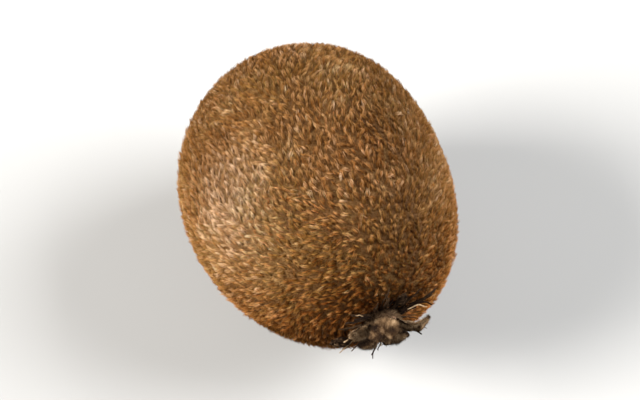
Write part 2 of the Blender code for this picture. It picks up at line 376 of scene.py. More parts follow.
def scatter(spacing, seed):
    # places spread evenly over the skin, in rows round it, each moved a little at random
    look = fuzzLook
    draw = np.random.default_rng(seed)
    fine = np.linspace(0, math.pi, 4000)
    line = skinPoints(fine, np.full(len(fine), 0.8))
    run = np.concatenate([[0], np.cumsum(np.linalg.norm(np.diff(line, axis=0), axis=1))])
    whole = np.linspace(0, fullTurn, 60)
    polars, arounds = [], []
    for row, reach in enumerate(np.arange(spacing / 2, run[-1], spacing * look["rowStep"])):
        loop = skinPoints(np.full(len(whole), np.interp(reach, run, fine)), whole)
        girth = np.linalg.norm(np.diff(loop, axis=0), axis=1).sum()
        count = max(3, round(girth / spacing))
        turns = (np.arange(count) + 0.5 * (row % 2)) * fullTurn / count
        arounds.append(turns + draw.uniform(-look["scatter"], look["scatter"], count) * fullTurn / count)
        reaches = reach + draw.uniform(-look["scatter"], look["scatter"], count) * spacing
        polars.append(np.interp(reaches, run, fine))
    polar, around = np.concatenate(polars), np.concatenate(arounds)
    here = skinPoints(polar, around)
    fromAxis = np.hypot(here[:, 0] - endOffset, here[:, 2] - centreHeight)
    keep = fromAxis > np.where(polar < math.pi / 2, look["bareStem"], look["bareBlossom"])
    return polar[keep], around[keep]


def nearStem(polar, height, reach):
    # a share that is highest at the stalk end and fades along the fruit
    return height * np.exp(-(polar / reach) ** 2)


def flowAngle(points, polar):
    look = fuzzLook
    return look["flow"] + nearStem(polar, *look["stemFlow"]) + layered(points, look["flowPatches"])


def fuzzTone(points, polar):
    # light and dark patches, a painted highlight as a pale spot on the side towards the key light, and
    # darker towards the stalk end, partly the hairs' own colour and partly painted shade
    look = fuzzLook
    away = np.linalg.norm(points - look["paintedSheenSpot"], axis=-1)
    # painted highlight, the pale spot on the lit side
    paintedSheen = look["paintedSheenStrength"] * np.exp(-(away / look["paintedSheenSize"]) ** 2)
    return look["tone"] + layered(points, look["tonePatches"]) + paintedSheen + nearStem(polar, *look["stemToneAndShade"])


def hairKinds(draw, points, polar):
    # 0 brown, 0.5 reddish, mostly near the stalk, 1 olive, in patches
    look = fuzzLook
    red = look["red"] + nearStem(polar, *look["stemRed"]) + layered(points, look["redPatches"])
    olive = look["olive"] + layered(points, look["olivePatches"])
    dice = draw.random(len(points))
    return np.where(dice < red, 0.5, np.where(dice > 1 - olive, 1.0, 0.0))


def leaning(along, across, out, angle, lie):
    # unit vectors that point angle round from the fruit's length and lie off its skin
    flow = along * np.cos(angle)[:, None] + across * np.sin(angle)[:, None]
    return flow * np.cos(lie)[:, None] + out * np.sin(lie)[:, None]


def plant(draw, look):
    # the roots of one layer of hairs or tufts, how they lie, where they end and how light they are
    polar, around = scatter(look["spacing"], look["seed"])
    here, along, across, out, perPolar, perAround = skinFrames(polar, around)
    count = len(polar)
    angle = flowAngle(here, polar) + draw.normal(0, look["turnSpread"], count)
    lie = np.radians(draw.uniform(*look["lie"], count))
    length = draw.uniform(*look["length"], count)
    tip = here + leaning(along, across, out, angle, lie) * length[:, None]
    tone = fuzzTone(here, polar) + look["toneShift"] + draw.normal(0, look["toneSpread"], count)
    return here, out, polar, around, perPolar, perAround, angle, lie, length, tip, tone


def hairSides(root, tip, out):
    # unit vectors to the side of each hair and up from it
    run = unit(tip - root)
    sideways = unit(np.cross(run, out))
    return sideways, unit(np.cross(sideways, run))


def spikes(name, centres, sides, widths, tones, kinds, material, thick=fuzzLook["thick"]):
    # three-sided hairs: centres holds one array of points for each ring and one for the tips
    sideways, upward = sides
    count, rings = len(centres[0]), len(centres) - 1
    corners = []
    for centre, width in zip(centres, widths):
        half, deep = width / 2, thick * width / widths[0]
        below = upward * deep * fuzzLook["below"]
        corners += [centre - sideways * half - below, centre + sideways * half - below]
        corners.append(centre + upward * deep * (1 - fuzzLook["below"]))
    corners.append(centres[-1])
    perHair = len(corners)
    verts = np.stack(corners, 1).reshape(-1, 3)
    pattern = []
    for ring in range(rings):
        for k in range(3):
            a, b = 3 * ring + k, 3 * ring + (k + 1) % 3
            if ring == rings - 1:
                pattern.append((a, perHair - 1, b))
            else:
                pattern += [(a, a + 3, b + 3), (a, b + 3, b)]
    faces = (np.arange(count)[:, None, None] * perHair + np.array(pattern)[None]).reshape(-1, 3)
    hair = meshObject(name, verts, faces, material)
    reach = np.tile(np.repeat(np.arange(rings + 1) / rings, [3] * rings + [1]), count)
    tones, kinds = np.repeat(tones, perHair), np.repeat(kinds, perHair)
    for title, values in (("hairTone", tones), ("hairAlong", reach), ("hairKind", kinds)):
        setPointValues(hair, title, values)
    # a map of tone against reach and kind, so that one small picture holds the colours of every hair
    aside = np.tile([-1, 1, 0] * rings + [0], count) * 0.004
    flat = np.stack([0.03 + 0.94 * tones + aside, 0.02 + 0.28 * reach + 0.66 * kinds], -1)
    layer = hair.data.uv_layers.new(name="OFBake")
    layer.data.foreach_set("uv", flat[faces].astype(np.float32).ravel())
    return hair


def spikePieces(name, centres, sides, widths, tones, kinds, material):
    # shares hairs out over as many pieces as the limit on faces asks for
    hairs = len(tones)
    perPiece = fuzzLook["pieceFaces"] // (6 * len(widths) - 3)
    pieces = math.ceil(hairs / perPiece)
    for number in range(pieces):
        pick = np.arange(number, hairs, pieces)
        picked = [[rows[pick] for rows in group] for group in (centres, sides, widths)]
        fuzz = spikes(f"{name}_{number + 1}", *picked, tones[pick], kinds[pick], material)
        dress(fuzz, "fruit")
    print(name, hairs, "hairs")


# tufts: a few curved hairs and more fine straight ones, drawn together at their tips
tuftLook = {
    "seed": 3,
    "spacing": 1.12 * mm,
    "spread": 0.21,  # of the spacing
    "length": (1.35 * mm, 2.1 * mm),
    "lie": (13, 38),  # degrees off the skin at the tip
    "turnSpread": 0.42, "toneShift": 0, "toneSpread": 0.145,
    "clumping": (0.62, 0.18),  # how far the tips are drawn together, and its spread
    "hairTurn": 0.24,  # how far each hair parts from its tuft: turn, lie, length, tone
    "hairLie": 0.14,
    "hairLength": (0.7, 1.12),
    "hairTone": 0.09,
    "hairWidth": (0.8, 1.15),
    "rootDepth": 0.12 * mm,
    "arch": 0.13,  # how far the middle rises, of the length
    "curl": 0.09,
    "middleWidth": 0.72,
    # name, hairs in a tuft, width, and whether they are curved
    "kinds": [("fuzz_curved", 4, 0.11 * mm, True), ("fuzz_fine", 9, 0.09 * mm, False)],
}


def growTufts():
    look = tuftLook
    draw = np.random.default_rng(7)
    _, _, *tufts = plant(draw, look)
    material = fuzzMaterial("kiwi fuzz", 1.0)
    print("fuzz:", len(tufts[0]), "tufts")
    for name, perTuft, width, curved in look["kinds"]:
        tuft = [np.repeat(values, perTuft, axis=0) for values in tufts]
        tuftHairs(draw, tuft, width, curved, name, material)


def tuftHairs(draw, tuft, width, curved, name, material):
    look = tuftLook
    polar, around, perPolar, perAround, angle, lie, length, tuftTip, tuftTone = tuft
    hairs = len(polar)
    spread = look["spread"] * look["spacing"]
    polar = polar + draw.normal(0, spread, hairs) / perPolar
    around = around + draw.normal(0, spread, hairs) / np.maximum(perAround, 2 * mm)
    here, along, across, out, _, _ = skinFrames(polar, around)
    angle = angle + draw.normal(0, look["hairTurn"], hairs)
    lie = lie + draw.normal(0, look["hairLie"], hairs)
    length = length * draw.uniform(*look["hairLength"], hairs)
    tip = here + leaning(along, across, out, angle, lie) * length[:, None]
    pull = np.clip(draw.normal(*look["clumping"], hairs), 0, 0.95)[:, None]
    tip = tip * (1 - pull) + tuftTip * pull
    sides = hairSides(here, tip, out)
    rings = [here - out * look["rootDepth"], tip]
    if curved:
        middle = (here + tip) / 2 + out * (look["arch"] * length)[:, None]
        rings.insert(1, middle + sides[0] * (draw.normal(0, look["curl"], hairs) * length)[:, None])
    for place in rings[1:]:
        place[:, 2] = np.maximum(place[:, 2], fuzzLook["floorGap"])
    tone = np.clip(tuftTone + draw.normal(0, look["hairTone"], hairs), 0, 1)
    kinds = hairKinds(draw, here, polar)
    scale = draw.uniform(*look["hairWidth"], hairs)[:, None]
    widths = [width * scale, width * look["middleWidth"] * scale][:len(rings) - 1]
    spikePieces(name, rings, sides, widths, tone, kinds, material)


underLook = {
    "seed": 13,
    "spacing": 0.38 * mm,
    "length": (0.7 * mm, 1.35 * mm),
    "lie": (25, 60),
    "width": 0.13 * mm,
    "turnSpread": 0.8, "toneShift": -0.08, "toneSpread": 0.12,
    "rootDepth": 0.1 * mm,
}


def growUnderfuzz():
    # short hairs that fill the gaps between the tufts, drawn darker as painted shade for those gaps
    look = underLook
    draw = np.random.default_rng(17)
    here, out, polar, *_, tip, tone = plant(draw, look)
    root = here - out * look["rootDepth"]
    tip[:, 2] = np.maximum(tip[:, 2], fuzzLook["floorGap"])
    sides = hairSides(root, tip, out)
    kinds = hairKinds(draw, here, polar)
    widths = [np.full((len(polar), 1), look["width"])]
    # 0.5: painted shade, a darker copy of the fuzz material for the layer under the tufts
    material = fuzzMaterial("kiwi underfuzz", 0.5)
    spikePieces("underfuzz", [root, tip], sides, widths, np.clip(tone, 0, 1), kinds, material)


collarLook = {
    "hairs": 1700,
    "ring": (3.2 * mm, 5.0 * mm),
    "length": (1.2 * mm, 2.9 * mm),
    "lean": 0.5, "rise": (0.15, 0.75),
    "rootDepth": 0.1 * mm, "kink": 0.12 * mm,
    "width": (0.11 * mm, 0.077 * mm),  # at the root and in the middle
    "tone": (0.32, 0.2), "reddish": 0.7,
}


def growCollar():
    # longer wiry hairs round the calyx
    look = collarLook
    draw = np.random.default_rng(27)
    hairs = look["hairs"]
    turn = draw.uniform(0, fullTurn, hairs)
    radius = draw.uniform(*look["ring"], hairs)
    length = draw.uniform(*look["length"], hairs)
    lean = draw.normal(0.0, look["lean"], hairs)
    rise = draw.uniform(*look["rise"], hairs)
    reach = np.sqrt(1 - rise ** 2) * length
    rings = []
    for share in (0.0, 0.5, 1.0):
        forward, sideward = radius + reach * share * np.cos(lean), reach * share * np.sin(lean)
        up = -skinInset - look["rootDepth"] + rise * length * (share ** 0.8)
        rings.append(endPoints(-1, np.hypot(forward, sideward), turn + np.arctan2(sideward, forward), up))
    rings[1] = rings[1] + draw.normal(0, look["kink"], (hairs, 3))
    sides = hairSides(rings[0], rings[2], [0.0, -1.0, 0.0])
    tone = np.clip(draw.normal(*look["tone"], hairs), 0, 1)
    kinds = np.where(draw.random(hairs) < look["reddish"], 0.5, 0.0)
    material = fuzzMaterial("kiwi collar fuzz", 0.9)
    collar = spikes("fuzz_collar", rings, sides, look["width"], tone, kinds, material)
    dress(collar, "fruit")


growTufts()
growUnderfuzz()
growCollar()
print("fuzz grown")

# dried calyx: the scar of the stalk and the sepals round it
scarLook = {
    "radius": 3.1 * mm,
    "pit": 1.1 * mm, "height": 2.3 * mm, "foot": 0.5 * mm,
    "sink": 0.9 * mm,  # below the foot
    "rings": 46, "columns": 120,
    "wrinkle": 0.13 * mm,
    "uneven": 0.035,  # how far the rim is from round
    "colours": [
        (0.00, (0.012, 0.010, 0.006)), (0.24, (0.030, 0.026, 0.010)), (0.40, (0.160, 0.125, 0.045)),
        (0.56, (0.330, 0.190, 0.110)), (0.74, (0.400, 0.230, 0.140)), (0.88, (0.120, 0.070, 0.040)),
        (1.00, (0.045, 0.024, 0.012)),
    ],
    "roughness": 0.8, "specular": 0.1,
    "grain": (1800, 4, 0.65),
    "grainShades": [(0.35, (0.415, 0.352, 0.298)), (0.55, (1, 1, 1))],
    "bump": (0.7, 0.25 * mm),
}


def makeScar():
    # a low wrinkled round rim with a pit, sunk a little into the skin
    look = scarLook
    rim, pit, top, foot = look["radius"], look["pit"], look["height"], look["foot"]
    # radius, height over the bottom of the hollow, place on the ramp of colours
    profile = np.array([
        (0, top - 1.6 * mm, 0.0), (pit * 0.45, top - 1.55 * mm, 0.10), (pit * 0.8, top - 1.25 * mm, 0.22),
        (pit, top - 0.8 * mm, 0.34), (rim * 0.44, top - 0.45 * mm, 0.44), (rim * 0.52, top - 0.2 * mm, 0.54),
        (rim * 0.62, top - 0.03 * mm, 0.64), (rim * 0.74, top, 0.74), (rim * 0.85, top - 0.10 * mm, 0.83),
        (rim * 0.93, top - 0.35 * mm, 0.9), (rim * 0.98, top - 0.75 * mm, 0.96), (rim, top - 1.3 * mm, 1.0),
        (rim, foot, 1.0), (rim * 0.9, foot - look["sink"], 1.0), (0, foot - look["sink"], 1.0),
    ])
    share, fine = np.linspace(0, 1, len(profile)), np.linspace(0, 1, look["rings"])
    rows = [np.interp(fine, share, column) for column in profile.T]
    turn = ringTurns(look["columns"])
    radii, heights, reaches = [np.repeat(row[1:-1, None], look["columns"], 1) for row in rows]
    flat = np.stack([radii * np.cos(turn), radii * np.sin(turn), heights], -1)
    crease = softNoise(flat, 1.1 * mm, 61) + 0.6 * softNoise(flat * [1, 1, 0.2], 0.5 * mm, 62)
    ridge = np.clip(radii / rim, 0, 1)
    radii = radii * (1 + look["uneven"] * softNoise(flat, 2.2 * mm, 63) * ridge)
    heights = heights + look["wrinkle"] * crease * ridge
    bottom = endPoints(-1, 0.0, 0.0, 0.0)[1]
    verts = axisPoints(radii, turn, bottom - heights).reshape(-1, 3)
    verts = np.concatenate([verts, axisPoints(np.zeros(2), 0, bottom - rows[1][[0, -1]])])
    material = grainedMaterial("stalk scar", look, "scarReach")
    scar = meshObject("stalk_scar", verts, closedRings(*radii.shape), material)
    setPointValues(scar, "scarReach", np.concatenate([reaches.ravel(), [0.0, 1.0]]))
    dress(scar, "calyx")


sepalLook = {
    # turn, length, width, tilt at the root and at the tip, and fold of each sepal, as its solid has them
    "sepals": [
        (108, 5.6 * mm, 6.2 * mm, 40, 140, 0.8 * mm),
        (168, 5.0 * mm, 3.8 * mm, 34, -26, -0.3 * mm),
        (230, 4.8 * mm, 4.4 * mm, 33, -30, -0.5 * mm),
        (294, 5.6 * mm, 5.0 * mm, 33, -30, -0.5 * mm),
        (2, 6.8 * mm, 4.2 * mm, 46, -14, 0.6 * mm),
    ],
    # the third is nearly black: partly its own withered colour, partly painted shade for the shadow it lies
    # in
    "sepalTones": [0.41, 0.37, 0.16, 0.34, 0.40],  # how light each has dried, 0 black, 1 pale
    "root": 2.7 * mm, "height": 1.8 * mm, "thick": 0.30 * mm,
    "rows": 56, "columns": 36,
    "narrowing": 0.72,  # of the width, at the tip
    "ragged": 0.15,  # how uneven the edge is, of the width
    "raggedNoise": [(1, 1.5 * mm, 71), (0.6, 0.6 * mm, 74)],
    "wave": 0.2 * mm, "twist": 0.4 * mm,
    "crumple": 0.26 * mm,
    "crumpleNoise": [(1, 2.4 * mm, 72), (0.5, 1.0 * mm, 73)],
    "ridge": 0.16 * mm,  # height of the lengthwise wrinkles
    "ridgeTone": 0.12,
    "toneNoise": [(0.17, 1.5 * mm, 76), (0.12, 0.5 * mm, 77)],
    "rootDark": 0.4, "edgeDark": 0.30,
    "colours": [
        (0.00, (0.010, 0.006, 0.004)), (0.25, (0.040, 0.022, 0.011)), (0.50, (0.145, 0.089, 0.046)),
        (0.75, (0.280, 0.186, 0.106)), (1.00, (0.450, 0.335, 0.210)),
    ],
    "roughness": 0.9, "specular": 0.03,
    "grain": (5200, 2, 0.55),
    "grainShades": [(0.35, (0.5, 0.45, 0.4)), (0.6, (1, 1, 1))],
    "bump": (0.6, 0.15 * mm),
}


def sepalGrid(number, turn, length, width, rootTilt, tipTilt, cup, ripple, twist):
    # the middle surface of one sepal, rows from root to tip and columns across
    look = sepalLook
    rows, columns = np.linspace(0, 1, look["rows"]), np.linspace(-1, 1, look["columns"])
    share, across = np.meshgrid(rows, columns, indexing="ij")
    half = width / 2 * (0.5 + 0.5 * np.sin(math.pi / 2 * np.minimum(1, share / 0.5)))
    half = half * (1 - look["narrowing"] * np.maximum(0, (share - 0.5) / 0.5) ** 2.8)
    plan = np.stack([share * length, across * half, np.full_like(share, number * 11 * mm)], -1)
    half = half * (1 + look["ragged"] * layered(plan, look["raggedNoise"]) * share)
    start, end = math.radians(rootTilt), math.radians(tipTilt)
    tilt = start + (end - start) * share
    radius = look["root"] + length * (np.sin(tilt) - math.sin(start)) / (end - start)
    height = look["height"] + length * (math.cos(start) - np.cos(tilt)) / (end - start)
    fold = cup * across ** 2 * np.sin(math.pi * share ** 0.8)
    fold = fold + look["wave"] * np.sin(8 * share + ripple) * share + twist * across * share
    fold = fold + look["crumple"] * layered(plan, look["crumpleNoise"]) * (0.3 + 0.7 * share)
    waves = np.cos(6 * across + 2.0 * softNoise(plan, 2.2 * mm, 75))
    fold = fold + look["ridge"] * waves * np.sin(math.pi * np.minimum(1, 0.15 + share * 0.9))
    radius = radius - fold * np.sin(tilt)
    height = height + fold * np.cos(tilt)
    aside = np.arctan2(across * half, radius)
    grid = endPoints(-1, np.hypot(radius, across * half), math.radians(turn) + aside, height)
    # black at the root and along the edges, lighter on the wrinkles
    tone = look["sepalTones"][number] + look["ridgeTone"] * waves + layered(grid, look["toneNoise"])
    tone = tone - look["rootDark"] * np.exp(-share / 0.10)
    tone = tone - look["edgeDark"] * (np.abs(across) ** 5 + share ** 7)
    return grid, share, across, np.clip(tone, 0, 1)


def makeSepals():
    look = sepalLook
    chance = random.Random(11)
    draw = np.random.default_rng(19)
    verts, triangles, tones, hairs, count = [], [], [], [], 0
    for number, sizes in enumerate(look["sepals"]):
        ripple = chance.uniform(0, fullTurn)
        twist = chance.uniform(-look["twist"], look["twist"])
        grid, share, across, tone = sepalGrid(number, *sizes, ripple, twist)
        normal = unit(np.cross(np.gradient(grid, axis=0), np.gradient(grid, axis=1)))
        thick = look["thick"] / 2 * (1 - 0.75 * np.abs(across) ** 4) * (1 - 0.6 * share ** 4)
        upper, lower = grid + normal * thick[..., None], grid - normal * thick[..., None]
        size = share.size
        index = np.arange(size).reshape(share.shape)
        quad = np.stack([index[:-1, :-1], index[1:, :-1], index[1:, 1:], index[:-1, 1:]], -1).reshape(-1, 4)
        edge = np.concatenate([index[0, :], index[1:, -1], index[-1, -2::-1], index[-2:0:-1, 0]])
        following = np.roll(edge, -1)
        rim = np.stack([edge, following, following + size, edge + size], -1)
        verts.append(np.concatenate([upper.reshape(-1, 3), lower.reshape(-1, 3)]))
        triangles.append(halved(np.concatenate([quad, quad[:, ::-1] + size, rim])) + count)
        tones.append(np.tile(tone.ravel(), 2))
        count += 2 * size
        hairs.append(feltHairs(draw, upper, lower, normal, tone))
    material = grainedMaterial("dried sepal", look, "sepalTone")
    sepals = meshObject("sepals", np.concatenate(verts), np.concatenate(triangles), material)
    setPointValues(sepals, "sepalTone", np.concatenate(tones))
    dress(sepals, "calyx")
    hairs.append(wallHairs(draw))
    makeFelt(*[np.concatenate(rows) for rows in zip(*hairs)])
    print("calyx:", len(look["sepals"]), "sepals")


feltLook = {
    "sepalHairs": 2200,  # on each sepal
    "upperShare": 0.62,  # of them, on the outer face
    "length": (0.30 * mm, 0.80 * mm),
    "paler": 0.06, "toneSpread": 0.14,
    "rootDepth": 0.05 * mm,
    "wallHairs": 1300,  # on the outer side of the scar
    "wallHeight": (0.4 * mm, 2.0 * mm),
    "wallLength": (0.5 * mm, 1.5 * mm),
    "wallTone": (0.40, 0.16),
    "wallDepth": 0.1 * mm,
    "width": 0.07 * mm,
    "flatness": 0.6,  # thickness of a hair, of its width
    "roughness": 0.7, "specular": 0.03,
}


def makeFelt(roots, tips, normals, tones):
    look = feltLook
    material, tree, shader = newMaterial("sepal felt", look["roughness"], look["specular"])
    colour = colourRamp(tree, pointValue(tree, "hairTone"), sepalLook["colours"])
    tree.links.new(colour, shader.inputs["Base Color"])
    sides, kinds = hairSides(roots, tips, normals), np.zeros(len(roots))
    thick = look["width"] * look["flatness"]
    felt = spikes("sepal_felt", [roots, tips], sides, [look["width"]], tones, kinds, material, thick)
    dress(felt, "calyx")
    print("sepal_felt", len(roots), "hairs")


def wallHairs(draw):
    # short brown hairs that stand out from the side of the scar
    look = feltLook
    hairs = look["wallHairs"]
    turn = draw.uniform(0, fullTurn, hairs)
    height = draw.uniform(*look["wallHeight"], hairs)
    bottom = endPoints(-1, 0.0, 0.0, 0.0)[1]
    radial = np.stack([np.cos(turn), np.zeros(hairs), np.sin(turn)], -1)
    radius = scarLook["radius"] * np.where(height > 1.5 * mm, 0.95, 1.0)  # the rim is rounded off
    root = axisPoints(radius - look["wallDepth"], turn, bottom - height)
    lean = radial + np.array([0, -1, 0]) * draw.uniform(-0.2, 1.3, (hairs, 1))
    run = unit(lean + draw.normal(0, 0.45, (hairs, 3)))
    tip = root + run * draw.uniform(*look["wallLength"], (hairs, 1))
    return root, tip, radial, np.clip(draw.normal(*look["wallTone"], hairs), 0, 1)


def feltHairs(draw, upper, lower, normal, shade):
    # short hairs on both faces of a sepal
    look = feltLook
    hairs = look["sepalHairs"]
    rows, columns = shade.shape
    row = draw.integers(2, rows - 1, hairs)
    column = draw.integers(0, columns - 1, hairs)
    face = draw.random(hairs) < look["upperShare"]
    blend = draw.random((hairs, 2))

    def at(grid):
        near = grid[row, column] * (1 - blend[:, :1]) + grid[row, column + 1] * blend[:, :1]
        far = grid[row - 1, column] * (1 - blend[:, :1]) + grid[row - 1, column + 1] * blend[:, :1]
        return near * (1 - blend[:, 1:]) + far * blend[:, 1:]
    up = unit(at(normal)) * np.where(face, 1, -1)[:, None]
    base = np.where(face[:, None], at(upper), at(lower))
    along = unit(upper[row, column] - upper[row - 1, column])
    lean = along * draw.uniform(0.2, 1.0, (hairs, 1)) + unit(draw.normal(size=(hairs, 3))) * 0.7
    length = draw.uniform(*look["length"], (hairs, 1))
    tip = base + unit(lean + up * draw.uniform(0.35, 1.0, (hairs, 1))) * length
    tone = np.clip(shade[row, column] + look["paler"] + draw.normal(0, look["toneSpread"], hairs), 0, 1)
    return base - up * look["rootDepth"], tip, up, tone


makeScar()
makeSepals()

# dried threads at both ends
threadLook = {
    "gap": 0.3 * mm,  # from the skin's solid to what lies on it
    "steps": 18, "sides": 5,
    "flatSide": 0.8,  # how near the axis every second edge of a thread is
    "colours": [
        (0.00, (0.011, 0.006, 0.004)), (0.45, (0.032, 0.018, 0.009)), (0.70, (0.110, 0.062, 0.030)),
        (1.00, (0.520, 0.370, 0.220)),
    ],
    "specular": 0.03,
    "grain": (2600, 3, 0.6),
    "grainShades": [(0.35, (0.45, 0.42, 0.40)), (0.6, (1, 1, 1))],
    "bump": (0.5, 0.12 * mm),
}


def threadMaterial(name, roughness):
    return grainedMaterial(name, {**threadLook, "roughness": roughness}, "threadTone")


def tubes(name, routes, width, spread, tones, material):
    # tapered threads with round ends along routes of equal step count
    sides = threadLook["sides"]
    routes = np.array(routes)
    count, steps = routes.shape[:2]
    widths = np.array([width]) * spread
    run = unit(np.gradient(routes, axis=1))
    across = unit(np.cross(run[:, 0], [0.31, 0.52, 0.79]))
    share = np.linspace(0, 1, steps)
    angle = ringTurns(sides)[None, :, None]
    flat = np.where(np.arange(sides)[None, :, None] % 2 == 0, 1.0, threadLook["flatSide"])
    rings = []
    for step in range(steps):
        across = unit(across - run[:, step] * (across * run[:, step]).sum(-1, keepdims=True))
        other = np.cross(run[:, step], across)
        half = (widths[:, 0] + (widths[:, 1] - widths[:, 0]) * share[step])[:, None, None] / 2
        offset = across[:, None] * np.cos(angle) + other[:, None] * np.sin(angle)
        rings.append(routes[:, step][:, None] + offset * half * flat)
    root = routes[:, :1] - run[:, :1] * widths[:, :1, None] * 0.3
    tip = routes[:, -1:] + run[:, -1:] * widths[:, 1:, None] * 0.6
    verts = np.concatenate([root] + rings + [tip], 1)
    perThread = verts.shape[1]
    last = perThread - 1
    pattern = []
    for k in range(sides):
        after = (k + 1) % sides
        pattern += [(0, 1 + after, 1 + k), (last, last - sides + k, last - sides + after)]
        for low in range(1, 1 + (steps - 1) * sides, sides):
            high = low + sides
            pattern += [(low + k, low + after, high + after), (low + k, high + after, high + k)]
    faces = (np.arange(count)[:, None, None] * perThread + np.array(pattern)[None]).reshape(-1, 3)
    item = meshObject(name, verts.reshape(-1, 3), faces, material)
    setPointValues(item, "threadTone", np.repeat(tones, perThread))
    return item


def finer(draw, route, strands, spread):
    # a few fine strands that follow one thick thread and part towards the tip
    route = np.array(route)
    span = np.linspace(0, 1, len(route))
    share = np.linspace(0, 1, threadLook["steps"])
    found = []
    for _ in range(strands):
        reach = share * draw.uniform(0.72, 1.04)
        line = np.stack([np.interp(np.minimum(reach, 1), span, route[:, k]) for k in range(3)], -1)
        last = route[-1] - route[-2]
        line = line + np.maximum(reach - 1, 0)[:, None] * (len(route) - 1) * last
        bend = draw.normal(size=3) * share[:, None] ** 1.4
        for waves in (draw.uniform(1.2, 2.4), draw.uniform(3.0, 5.5)):
            swing = np.sin(math.pi * share * waves + draw.uniform(0, 6))[:, None]
            bend = bend + draw.normal(size=3) * swing * (1.3 / waves) * (0.25 + 0.75 * share[:, None])
        found.append(line + spread * (bend + draw.normal(size=3) * 0.35))
    return found


# stamens under the sepals
stamenLook = {
    "ring": (3.6 * mm, 4.6 * mm),
    "ringThick": 0.55 * mm,
    "wideGap": 90,
    "inGap": (2, 4),  # in a narrow gap between two sepals and in a wide one
    "spacing": (0.15, 0.28),
    "gapReach": (4.8 * mm, 7.2 * mm), "gapRise": (1.0 * mm, 3.2 * mm),
    "flat": 19,  # these lie on the skin all round
    "flatReach": (2.4 * mm, 5.8 * mm), "flatSway": 0.3,
    "strands": 2,  # fine threads for each thick one of the solid
    "wobble": 0.30 * mm,
    # long ones stuck together as a strip: turn, length outside the ring, rise over the skin
    "stuck": [(25, 8.8 * mm, 1.9 * mm), (29.5, 8.2 * mm, 2.1 * mm)],
    "stuckStrands": 5, "stuckWobble": 0.12 * mm,
    "width": (0.52 * mm, 0.24 * mm),
    "widthSpread": (0.7, 1.6),
    "lightShare": (0.10, 0.36),  # of the stamens above and below have bleached to tan
    "lightTone": (0.72, 1.0), "darkTone": (0.0, 0.5),
}


def stamenRoute(turn, reach, rise, sway):
    look = stamenLook
    share = np.linspace(0, 1, 7)
    height = threadLook["gap"] + look["ringThick"] / 2 + rise * share ** 1.6
    return endPoints(-1, sum(look["ring"]) / 2 + reach * share, turn + sway * share ** 1.5, height)


def makeStamens():
    look = stamenLook
    chance = random.Random(23)
    draw = np.random.default_rng(29)
    turns = sorted(sizes[0] for sizes in sepalLook["sepals"])
    routes = []

    def addStrands(turn, reach, rise, sway, strands=look["strands"], wobble=look["wobble"]):
        routes.extend(finer(draw, stamenRoute(turn, reach, rise, sway), strands, wobble))
    for before, after in zip(turns, turns[1:] + [turns[0] + 360]):
        wide = after - before > look["wideGap"]
        for place in range(look["inGap"][wide]):
            aside = (place - (look["inGap"][wide] - 1) / 2) * look["spacing"][wide]
            reach = chance.uniform(*look["gapReach"])
            rise = chance.uniform(*look["gapRise"])
            addStrands(math.radians((before + after) / 2) + aside, reach, rise, aside * 0.5)
    for index in range(look["flat"]):
        turn = fullTurn * (index + chance.uniform(-0.4, 0.4)) / look["flat"]
        reach = chance.uniform(*look["flatReach"])
        addStrands(turn, reach, 0, chance.uniform(-look["flatSway"], look["flatSway"]))
    for turn, distance, *_ in clumpLook["clumps"]:
        addStrands(math.radians(turn), distance - sum(look["ring"]) / 2, 0, 0)
    loose = len(routes)
    for turn, reach, rise in look["stuck"]:
        addStrands(math.radians(turn), reach, rise, 0, look["stuckStrands"], look["stuckWobble"])
    count = len(routes)
    below = np.array([route[-1][2] < centreHeight for route in routes])
    light = draw.random(count) < np.where(below, look["lightShare"][1], look["lightShare"][0])
    light[loose:] = False
    tones = np.where(light, draw.uniform(*look["lightTone"], count), draw.uniform(*look["darkTone"], count))
    spread = draw.uniform(*look["widthSpread"], (count, 1))
    material = threadMaterial("dried stamen", 0.8)
    dress(tubes("stamen_threads", routes, look["width"], spread, tones, material), "stamens")
    print("stamens:", count)


clumpLook = {
    # turn, distance from the axis, half sizes along, across and out of the skin
    "clumps": [
        (200, 9.2 * mm, 1.9 * mm, 1.4 * mm, 0.8 * mm),
        (58, 7.2 * mm, 1.2 * mm, 1.0 * mm, 0.6 * mm),
    ],
    "rows": 26, "columns": 40,
    "fullness": 0.80,  # of the clump's size, the knot's
    "swell": [(0.10, 0.9, 93), (0.07, 0.35, 94)],
    "knotTone": 0.2,
    "threads": 130,
    "width": (0.26 * mm, 0.12 * mm),
    "widthSpread": (0.7, 1.3),
    "threadTone": (0.28, 0.2),
}


